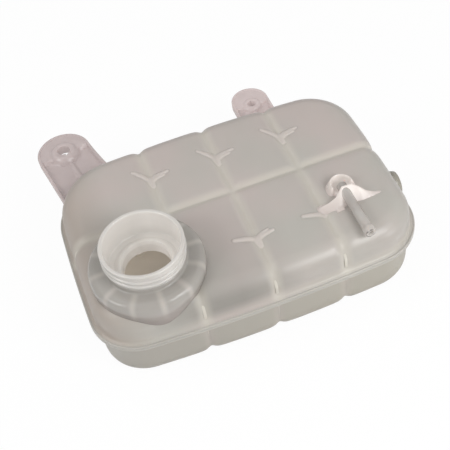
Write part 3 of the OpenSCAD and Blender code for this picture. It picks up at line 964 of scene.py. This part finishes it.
def windows(piece, g, outline):
    """Cuts the round windows on the weld plane out of the baffles."""
    cutters = []
    for sign in (-0.5, 0.5):
        cutters.append(((0, g.long_y + sign * g.gull_pitch), "X", 2 * g.pitch + 8 * g.baffle))
    for k in range(4):
        cutters.append(((g.first_x + (k - 0.5) * g.pitch, g.long_y), "Y", 3 * g.baffle))
    for (x, y), axis, long in cutters:
        shape = bmesh.new()
        bmesh.ops.create_cone(shape, cap_ends=True, segments=48, radius1=g.window, radius2=g.window, depth=long)
        if axis == "X":
            x = g.first_x + g.pitch
        swing = Matrix.Rotation(math.pi / 2, 4, "Y" if axis == "X" else "X")
        place = Matrix.Translation((outline.middle[0] + x, outline.middle[1] + y, WELD_Z))
        bmesh.ops.transform(shape, matrix=place @ swing, verts=shape.verts)
        mesh = bpy.data.meshes.new("window_cutter")
        shape.to_mesh(mesh)
        shape.free()
        cutter = linked("window_cutter", mesh)
        cut = piece.modifiers.new("window", "BOOLEAN")
        cut.object = cutter
        cut.operation = "DIFFERENCE"
        cut.solver = "EXACT"
        cut.use_self = True
        apply_modifiers(piece)
        bpy.data.objects.remove(cutter)


def apply_modifiers(piece):
    """Turns a piece's modifiers into its mesh."""
    bpy.context.view_layer.update()
    graph = bpy.context.evaluated_depsgraph_get()
    mesh = bpy.data.meshes.new_from_object(piece.evaluated_get(graph))
    piece.modifiers.clear()
    piece.data = mesh


class TANK_OT_gull_wings(bpy.types.Operator):
    """Build the gull-wing webs that cross the transverse grooves"""

    bl_idname = "tank.gull_wings"
    bl_label = "Gull Wings"

    def execute(self, context):
        s, g, outline, look = sizes()
        points, faces = [], []
        for k, side in ((0, 1), (1, 1), (2, 1), (1, -1), (2, -1)):
            x, y = np.meshgrid(np.linspace(-18, 17, 71), np.linspace(-19, 9, 57))
            share = gull_share(x, y, side, 1 if (k, side) == HALF_GULL else None)
            px = outline.middle[0] + g.first_x + k * g.pitch + x * g.gull_span / GULL_UNIT
            py = outline.middle[1] + g.long_y + side * g.gull_pitch + y * MM
            skin = WELD_Z + s.crown - grooves_at(px, py, outline, g) * (1 - g.top_ease) + bulge_at(px, py, outline, g)
            high = skin + (g.gull_rise + GULL_SUNK) * share - GULL_SUNK
            quads = grid_quads(x.shape)
            quads = (quads[share.ravel()[quads].max(axis=1) > 0.05] + len(points)).tolist()
            for level in (high, skin - GULL_DEPTH):
                points += np.column_stack([px.ravel(), py.ravel(), level.ravel()]).tolist()
            faces += thick_sheet(quads, x.size)
        piece = mesh_object("gull_wings", points, faces, math.radians(60))
        plastic = shell_plastic("gull plastic", look, s, g, outline, look.pillow, 0.94, 1, True)
        settle(piece, plastic, *UPPER)
        return {"FINISHED"}


class TANK_OT_drum(bpy.types.Operator):
    """Build the drum under the neck, with its ribs"""

    bl_idname = "tank.drum"
    bl_label = "Drum"

    def execute(self, context):
        s, _, outline, look = sizes()
        n = context.scene.tank_neck
        at = place_of("filler_neck")
        top = WELD_Z + s.crown + n.drum_rise
        r, edge, wall = n.drum, n.drum_edge, s.wall
        corners = [
            (n.outer - 1 * MM, top + n.neck_fillet, 0), (n.outer + 0.1 * MM, top + n.neck_fillet, 0),
            (n.outer + 0.1 * MM, top, n.neck_fillet), (r, top, edge), (r, 0, 0), (r - wall, 0, 0),
            (r - wall, top - wall, edge - wall), (n.outer - 1 * MM, top - wall, 0),
        ]
        section = rounded(corners, 9)
        count = 160
        a = np.arange(count) * 2 * math.pi / count
        foot_x, foot_y = at.x + (r - wall / 2) * np.cos(a), at.y + (r - wall / 2) * np.sin(a)
        middle = shoulder_inset(s, s.crown, s.shoulder)
        lack = np.clip(middle - outline.inset(foot_x, foot_y), 0, s.shoulder * 0.995)
        skin = WELD_Z + s.crown - s.shoulder + np.sqrt(s.shoulder ** 2 - lack ** 2)
        foot = skin - wall - 1.2 * MM
        rings = []
        for radius, z in section:
            high = foot if z == 0 else np.full(count, z)
            rings.append(np.column_stack([at.x + radius * np.cos(a), at.y + radius * np.sin(a), high]))
        piece = mesh_object("drum", np.vstack(rings), tube_faces(len(section), count, True))
        settle(piece, drum_plastic(look, n, at), *UPPER)
        ribs = self.ribs(n, s, top)
        settle(moved(ribs, Matrix.Translation((at.x, at.y, 0))), plain_plastic(
            "rib plastic", look, look.groove, 1.0, 0.4), *UPPER)
        return {"FINISHED"}

    @staticmethod
    def ribs(n, s, top):
        """Radial ribs between the throat sleeve and the drum's wall."""
        low = WELD_Z + s.crown - s.wall
        inner, outer = n.throat + n.sleeve / 2, n.drum - s.wall / 2
        neck_wall = n.outer - 1 * MM
        seat = UPPER_HIGH.z - n.seat_depth - n.sleeve / 2
        plan = rounded([
            (inner, low, 0), (outer, low, 0), (outer, top - s.wall / 2, n.drum_edge - s.wall / 2),
            (neck_wall, top - s.wall / 2, 0), (neck_wall, seat, 0), (inner, seat, 0),
        ], 6)
        points, faces = [], []
        for k in range(n.ribs):
            swing = Matrix.Rotation(2 * math.pi * k / n.ribs, 4, "Z")
            faces += prism_faces(len(points), len(plan))
            for side in (-0.5, 0.5):
                points += [swing @ Vector((r, side * n.rib, z)) for r, z in plan]
        return mesh_object("drum_ribs", points, faces, math.radians(30))


class TANK_OT_neck(bpy.types.Operator):
    """Build the filler neck with its seat, throat sleeve and thread"""

    bl_idname = "tank.neck"
    bl_label = "Filler Neck"

    def execute(self, context):
        *_, look = sizes()
        n = context.scene.tank_neck
        at = place_of("filler_neck")
        rim = UPPER_HIGH.z
        seat = rim - n.seat_depth
        mouth = radius_of("filler_neck")
        low = rim - n.throat_depth
        under = seat - n.sleeve
        fine = 0.6 * MM
        corners = [
            (n.throat, low, fine), (n.throat + n.sleeve, low, fine), (n.throat + n.sleeve, under, fine),
            (n.outer, under, fine), (n.outer, rim - 2.6 * MM, fine), (n.rim, rim - 1.8 * MM, fine),
            (n.rim, rim, 2 * fine), (mouth, rim, 2 * fine), (mouth, seat, 2 * fine),
            (n.throat + n.ring + 4 * fine, seat, 0.3 * MM), (n.throat + n.ring, seat + n.ring_rise, fine),
            (n.throat + 2 * fine, seat + n.ring_rise, fine), (n.throat, seat - 1.5 * MM, fine),
        ]
        piece = turned("filler_neck", rounded(corners, 4), 160)
        plastic = neck_plastic(look, at, mouth)
        settle(moved(piece, Matrix.Translation((at.x, at.y, 0))), plastic, *UPPER)
        thread = self.thread(n, rim)
        settle(moved(thread, Matrix.Translation((at.x, at.y, 0))), plastic, *UPPER)
        return {"FINISHED"}

    @staticmethod
    def thread(n, rim):
        """The cap's thread: a rounded ridge that winds down the neck and runs out at both ends."""
        steps = round(128 * n.thread_turns)
        section = [(-0.4, -1.35), (0.55, -0.8), (0.95, -0.35), (0.95, 0.35), (0.55, 0.8), (-0.4, 1.35)]
        points = []
        for i in range(steps + 1):
            t = i / steps
            a = 2 * math.pi * n.thread_turns * t
            rise = min(1.0, 12 * t, 12 * (1 - t))
            z = rim - n.thread_top - n.thread_pitch * n.thread_turns * t
            for out, up in section:
                r = n.outer + (out * rise if out > 0 else out) * n.thread_rise
                points.append((r * math.cos(a), r * math.sin(a), z + up * MM * max(rise, 0.2)))
        count = len(section)
        faces = tube_faces(steps + 1, count, False)
        faces.append(list(range(count)))
        faces.append([steps * count + v for v in reversed(range(count))])
        return mesh_object("neck_thread", points, faces, math.radians(50))


class TANK_OT_vent(bpy.types.Operator):
    """Build the vent nipple, its pod and the wings beside it"""

    bl_idname = "tank.vent"
    bl_label = "Vent Nipple"

    def execute(self, context):
        s, _, _, look = sizes()
        h = context.scene.tank_hoses
        bead = place_of("vent_nipple")
        pod = Vector((bead.x, bead.y - 0.625 * h.bead + h.vent_length, WELD_Z + s.crown))
        clear = nipple_plastic(look, h, pod + Vector((0, -h.vent_length, h.vent_axis)))
        milky = pod_plastic(look, pod)
        nipple = hose_end(
            "vent_nipple", h.vent_bore, h.vent_tube, radius_of("vent_nipple"), h.vent_length, h.bead, 48
        )
        axis = Matrix.Translation(pod + Vector((0, 0, h.vent_axis))) @ Matrix.Rotation(math.pi / 2, 4, "X")
        settle(moved(nipple, axis), clear, *UPPER)
        settle(moved(self.pod(h), Matrix.Translation(pod)), milky, *UPPER)
        return {"FINISHED"}

    @staticmethod
    def pod(h):
        """The pod as one moulded form over the pillow: a shield whose crest falls into two wings, and behind it a
        horseshoe ridge round a hollow."""
        low = -3.6 * MM
        across = np.linspace(-h.left_wing - MM, h.right_wing + 8 * MM, 86)
        along = np.linspace(-20 * MM, 12 * MM, 60)
        x, y = (v / MM for v in np.meshgrid(across, along))
        stations = (-23, -20, -14, -8, -2, 5.5, 10, 14, 20, 27)
        crest = np.interp(x, stations, (0, 1.1, 2.8, 5, 9.2, 9, 7, 4, 1.2, 0))
        line = np.interp(x, stations, (-10.3, -10.3, -10, -9, -4.6, -4.6, -7.6, -10.8, -12.6, -13.4))
        fall = np.interp(x, stations, (2.5, 3.5, 6, 8.5, 11, 11, 8.6, 5, 2.8, 2))
        ahead = line - y
        face = np.clip(1 - ahead / fall, 0, 1)
        high = crest * np.where(ahead < 0, np.exp(-(ahead / 1.8) ** 2), face)
        reach, swing = np.hypot(x - 0.5, y - 1.5), np.degrees(np.arctan2(y - 1.5, x - 0.5))
        open_side = smooth_step((np.abs((swing - 95 + 180) % 360 - 180) - 95) / 25)
        shoe = 6.3 * np.exp(-((reach - 7.8) / 1.9) ** 2) * (1 - open_side)
        floor = 2.6 * (1 - smooth_step((reach - 6.5) / 3))
        step = 1.3 * (1 - smooth_step((np.maximum(np.abs(x + 8), np.abs(y + 16.5) * 1.8) - 2.6) / 1))
        high = np.maximum.reduce([high, shoe, floor, step])
        high = high - np.exp(-high / 0.3)
        points = np.column_stack([x.ravel() * MM, y.ravel() * MM, high.ravel() * MM])
        quads = grid_quads(x.shape)
        quads = quads[points[quads, 2].max(axis=1) > -0.85 * MM].tolist()
        under = points.copy()
        under[:, 2] = low
        return mesh_object("vent_pod", np.vstack([points, under]), thick_sheet(quads, len(points)), math.radians(60))


class TANK_OT_spigot(bpy.types.Operator):
    """Build the hose spigot of the lower shell"""

    bl_idname = "tank.spigot"
    bl_label = "Hose Spigot"

    def execute(self, context):
        s, _, outline, look = sizes()
        h = context.scene.tank_hoses
        at = place_of("hose_spigot")
        crest = radius_of("hose_spigot")
        root = outline.middle[0] + s.length_over / 2 - s.flange - s.wall
        piece = hose_end(
            "hose_spigot", h.spigot_bore, crest - h.spigot_neck, crest, LOWER_HIGH.x - root, h.bead, 96
        )
        axis = Matrix.Translation((root, at.y, at.z)) @ Matrix.Rotation(math.pi / 2, 4, "Y")
        plastic = plain_plastic("spigot plastic", look, look.lower, 0.85, 0.26)
        settle(moved(piece, axis), plastic, *LOWER)
        return {"FINISHED"}


def tab_mesh(name, s, t, outline, hole, radius, hole_r, boss, lean, back, flare):
    """A tab as a height field over rows that run inwards from its outline. hole is the bolt hole's place, and back
    is how far it lies behind the middle of the round end."""
    frame_of = Matrix.Translation(hole) @ Matrix.Rotation(lean, 4, "Z") @ Matrix.Translation((0, back, 0))
    flat = np.array(frame_of)

    def root_y(x):
        """Where the line at x along the tab meets the middle of the shell's wall."""
        low, high = -120 * MM, 0.0
        for _ in range(30):
            mid = (low + high) / 2
            p = flat @ np.array([x, mid, 0, 1])
            if outline.inset(p[0], p[1]) > s.flange + s.wall / 2:
                low = mid
            else:
                high = mid
        return (low + high) / 2

    arc_steps, line_steps = 48, 44
    fractions = np.unique(np.concatenate([np.linspace(0, 0.2, 12), np.linspace(0.2, 1, 22)]))
    columns = [("left", i / line_steps) for i in range(line_steps)]
    columns += [("arc", math.pi * (1 - i / arc_steps)) for i in range(arc_steps + 1)]
    columns += [("right", 1 - i / line_steps) for i in range(1, line_steps + 1)]
    points = []
    for q in fractions:
        for kind, v in columns:
            if kind == "arc":
                inner = hole_r if back < hole_r else 0.0
                r = radius - (radius - inner) * q
                points.append((r * math.cos(v), r * math.sin(v)))
                continue
            sign = -1 if kind == "left" else 1
            y = root_y(sign * radius) * (1 - v)
            gap = abs(y + back)
            inner = math.sqrt(max(hole_r ** 2 - gap ** 2, 0))
            x = sign * (radius - (radius - inner) * q)
            points.append((x, root_y(x) * (1 - v)))
    plan = np.array(points)
    x, y = plan[:, 0], plan[:, 1]
    edge = radius - np.where(y > 0, np.hypot(x, y), np.abs(x))
    from_hole = np.hypot(x, y + back)
    soft = 0.9 * MM

    def wall_at(distance, half):
        return 1 - smooth_step((distance - half + soft / 2) / soft)

    rim = wall_at(edge, t.rib)
    middle = 0.5 * (1 - smooth_step((np.abs(x) - 0.2 * t.rib) / (1.1 * t.rib)))
    middle = middle * smooth_step((from_hole - hole_r) / soft) * (y + back < 0)
    height = t.floor + (t.rim - t.floor) * np.maximum(rim, middle)
    reach = hole_r * 2.2
    beyond = -(y + back) - 2 * MM
    near = np.minimum(beyond, from_hole - reach) - 0.6 * MM * np.exp(-((beyond - from_hole + reach) / (3 * MM)) ** 2)
    head = 1 - smooth_step((near + 0.8 * MM) / (1.6 * MM))
    height = np.maximum(height, t.floor + (t.rim - 0.5 * MM - t.floor) * head)
    ring = 1 - smooth_step((from_hole - 0.72 * reach) / (0.3 * reach))
    height = np.maximum(height, (t.rim - 0.5 * MM + (boss - t.rim + 0.5 * MM) * ring) * (ring > 0))
    top_round = 0.5 * MM
    height = height - top_round * (1 - smooth_step(edge / top_round)) * 0.9
    height = height - top_round * (1 - smooth_step((from_hole - hole_r) / top_round)) * 0.8
    if flare:
        spots = np.linspace(-radius, radius + flare, 41)
        roots = np.array([root_y(v) for v in spots])
        root = np.interp(x, spots, roots)
        wider = x + flare * np.clip(y / root, 0, 1) ** 1.5 * (x + radius) / (2 * radius)
        plan = np.column_stack([wider, np.where(y < 0, y * np.interp(wider, spots, roots) / root, y)])
    upper = np.column_stack([plan, height])
    under = np.column_stack([plan, np.zeros(len(plan))])
    quads = grid_quads((len(fractions), len(columns))).tolist()
    seam = np.abs(x) < 0.001 * MM
    piece = mesh_object(name, np.vstack([upper, under]), thick_sheet(quads, len(plan), seam))
    shape = bmesh.new()
    shape.from_mesh(piece.data)
    bmesh.ops.remove_doubles(shape, verts=shape.verts, dist=0.02 * MM)
    bmesh.ops.dissolve_degenerate(shape, dist=0.01 * MM, edges=shape.edges)
    bmesh.ops.recalc_face_normals(shape, faces=shape.faces)
    for edge in shape.edges:
        edge.smooth = edge.calc_face_angle(0.0) < math.radians(50)
    shape.to_mesh(piece.data)
    shape.free()
    return moved(piece, frame_of)


class TANK_OT_tabs(bpy.types.Operator):
    """Build the two mounting tabs"""

    bl_idname = "tank.tabs"
    bl_label = "Mounting Tabs"

    def execute(self, context):
        s, _, outline, look = sizes()
        t = context.scene.tank_tabs
        for name, mount, radius, boss, lean, back, flare, tone in (
            ("long_tab", "long_tab_hole", t.long_radius, t.long_boss, t.long_lean, 0.0, t.long_flare, 0.89),
            ("short_tab", "short_tab_hole", t.short_radius, t.short_boss, 0.0, t.short_hole_back, 0.0, 1.06),
        ):
            at = place_of(mount)
            hole = Vector((at.x, at.y, WELD_Z))
            piece = tab_mesh(name, s, t, outline, hole, radius, radius_of(mount), boss, lean, back, flare)
            hue = [tone * v for v in look.tab]
            plastic = plain_plastic(name + " plastic", look, hue, 0.8, 0.24, 45, look.through * 0.6)
            settle(piece, plastic, *UPPER)
        return {"FINISHED"}


class TANK_OT_stage(bpy.types.Operator):
    """Set up the camera, the lights and the white floor"""

    bl_idname = "tank.stage"
    bl_label = "Stage"

    def execute(self, context):
        look = context.scene.tank_stage
        self.camera(context, look)
        self.lights(context, look)
        self.floor(context)
        context.scene.view_settings.view_transform = "Standard"
        return {"FINISHED"}

    @staticmethod
    def camera(context, look):
        """The camera that puts the rim's middle at its place in the frame."""
        ahead = Vector((
            math.sin(look.yaw) * math.cos(look.dip), math.cos(look.yaw) * math.cos(look.dip), -math.sin(look.dip)
        ))
        level = Vector((math.cos(look.yaw), -math.sin(look.yaw), 0))
        up = level.cross(ahead)
        across = math.cos(look.roll) * level + math.sin(look.roll) * up
        upward = math.cos(look.roll) * up - math.sin(look.roll) * level
        half = look.frame_px / 2
        offset = Vector((
            (look.rim_u - half) / look.focal_px, -(look.rim_v - half) / look.focal_px, 1
        )) * look.distance
        rim = place_of("filler_neck")
        rim.z = UPPER_HIGH.z
        data = bpy.data.cameras.new("camera")
        data.lens = look.focal_px / look.frame_px * data.sensor_width
        data.clip_end = 20
        camera = linked("camera", data)
        axes = Matrix((across, upward, -ahead)).transposed()
        camera.matrix_world = Matrix.Translation(
            rim - across * offset.x - upward * offset.y - ahead * offset.z
        ) @ axes.to_4x4()
        context.scene.camera = camera

    @staticmethod
    def lights(context, look):
        """Softboxes in front, on both sides and above, and an even white world."""
        for name, power, size, at in (
            ("key", look.key, 0.5, (0.44, -0.78, 0.75)), ("left", look.left, 0.42, (-0.89, -0.18, 0.75)),
            ("right", look.right, 0.3, (0.75, -0.85, 0.22)), ("fill", look.fill, 0.9, (-0.4, 0.4, 1.3)),
        ):
            lamp = bpy.data.lights.new(name, "AREA")
            lamp.energy = power
            lamp.size = size
            holder = linked(name, lamp)
            holder.location = at
            holder.rotation_euler = (-Vector(at)).to_track_quat("-Z", "Y").to_euler()
        f = Finish("even light", "worlds")
        seen = f.math("MAXIMUM", *(f.node("ShaderNodeLightPath", output=f"Is {kind} Ray") for kind in (
            "Camera", "Transmission")))
        light, white = (f.node("ShaderNodeBackground", values={"Color": WHITE, "Strength": power}) for power in (
            look.world, 1.0))
        f.node("ShaderNodeOutputWorld", values=[f.node("ShaderNodeMixShader", values=[seen, light, white])])
        context.scene.world = f.material

    @staticmethod
    def floor(context):
        """A white floor that keeps a faint shadow."""
        mesh = bpy.data.meshes.new("floor")
        side = 4.0
        mesh.from_pydata([(-side, -side, 0), (side, -side, 0), (side, side, 0), (-side, side, 0)], [], [(0, 1, 2, 3)])
        floor = linked("floor", mesh)
        floor.location.z = LOWER_LOW.z
        f = Finish("white floor")
        seen = f.node("ShaderNodeLightPath", output="Is Camera Ray")
        glow = f.node("ShaderNodeEmission", values={"Color": WHITE, "Strength": 1.0})
        matt = f.node("ShaderNodeBsdfDiffuse", values={"Color": (0.9, 0.9, 0.9, 1)})
        f.node("ShaderNodeOutputMaterial", values=[
            f.node("ShaderNodeMixShader", values=[seen * 0.95, matt, glow])
        ])
        mesh.materials.append(f.material)


class TANK_PT_panel(bpy.types.Panel):
    """Panel that lists the tank's pieces"""

    bl_idname = "TANK_PT_panel"
    bl_label = "Expansion Tank"
    bl_space_type = "VIEW_3D"
    bl_region_type = "UI"
    bl_category = "Tank"

    def draw(self, context):
        for operator in OPERATORS:
            self.layout.operator(operator.bl_idname)


GROUPS = {
    "tank_body": BodySizes, "tank_grooves": GrooveSizes, "tank_neck": NeckSizes, "tank_hoses": HoseSizes,
    "tank_tabs": TabSizes, "tank_look": PlasticLook, "tank_stage": StageLook,
}
OPERATORS = (
    TANK_OT_stage, TANK_OT_upper_shell, TANK_OT_lower_shell, TANK_OT_flange, TANK_OT_baffles,
    TANK_OT_gull_wings, TANK_OT_drum, TANK_OT_neck, TANK_OT_vent, TANK_OT_spigot, TANK_OT_tabs,
)
CLASSES = (*GROUPS.values(), *OPERATORS, TANK_PT_panel)


def register():
    for cls in CLASSES:
        bpy.utils.register_class(cls)
    for name, group in GROUPS.items():
        setattr(bpy.types.Scene, name, PointerProperty(type=group))


def unregister():
    for name in GROUPS:
        delattr(bpy.types.Scene, name)
    for cls in reversed(CLASSES):
        bpy.utils.unregister_class(cls)


def main():
    register()
    for operator in OPERATORS:
        group, name = operator.bl_idname.split(".")
        getattr(getattr(bpy.ops, group), name)()


if __name__ == "__main__":
    main()
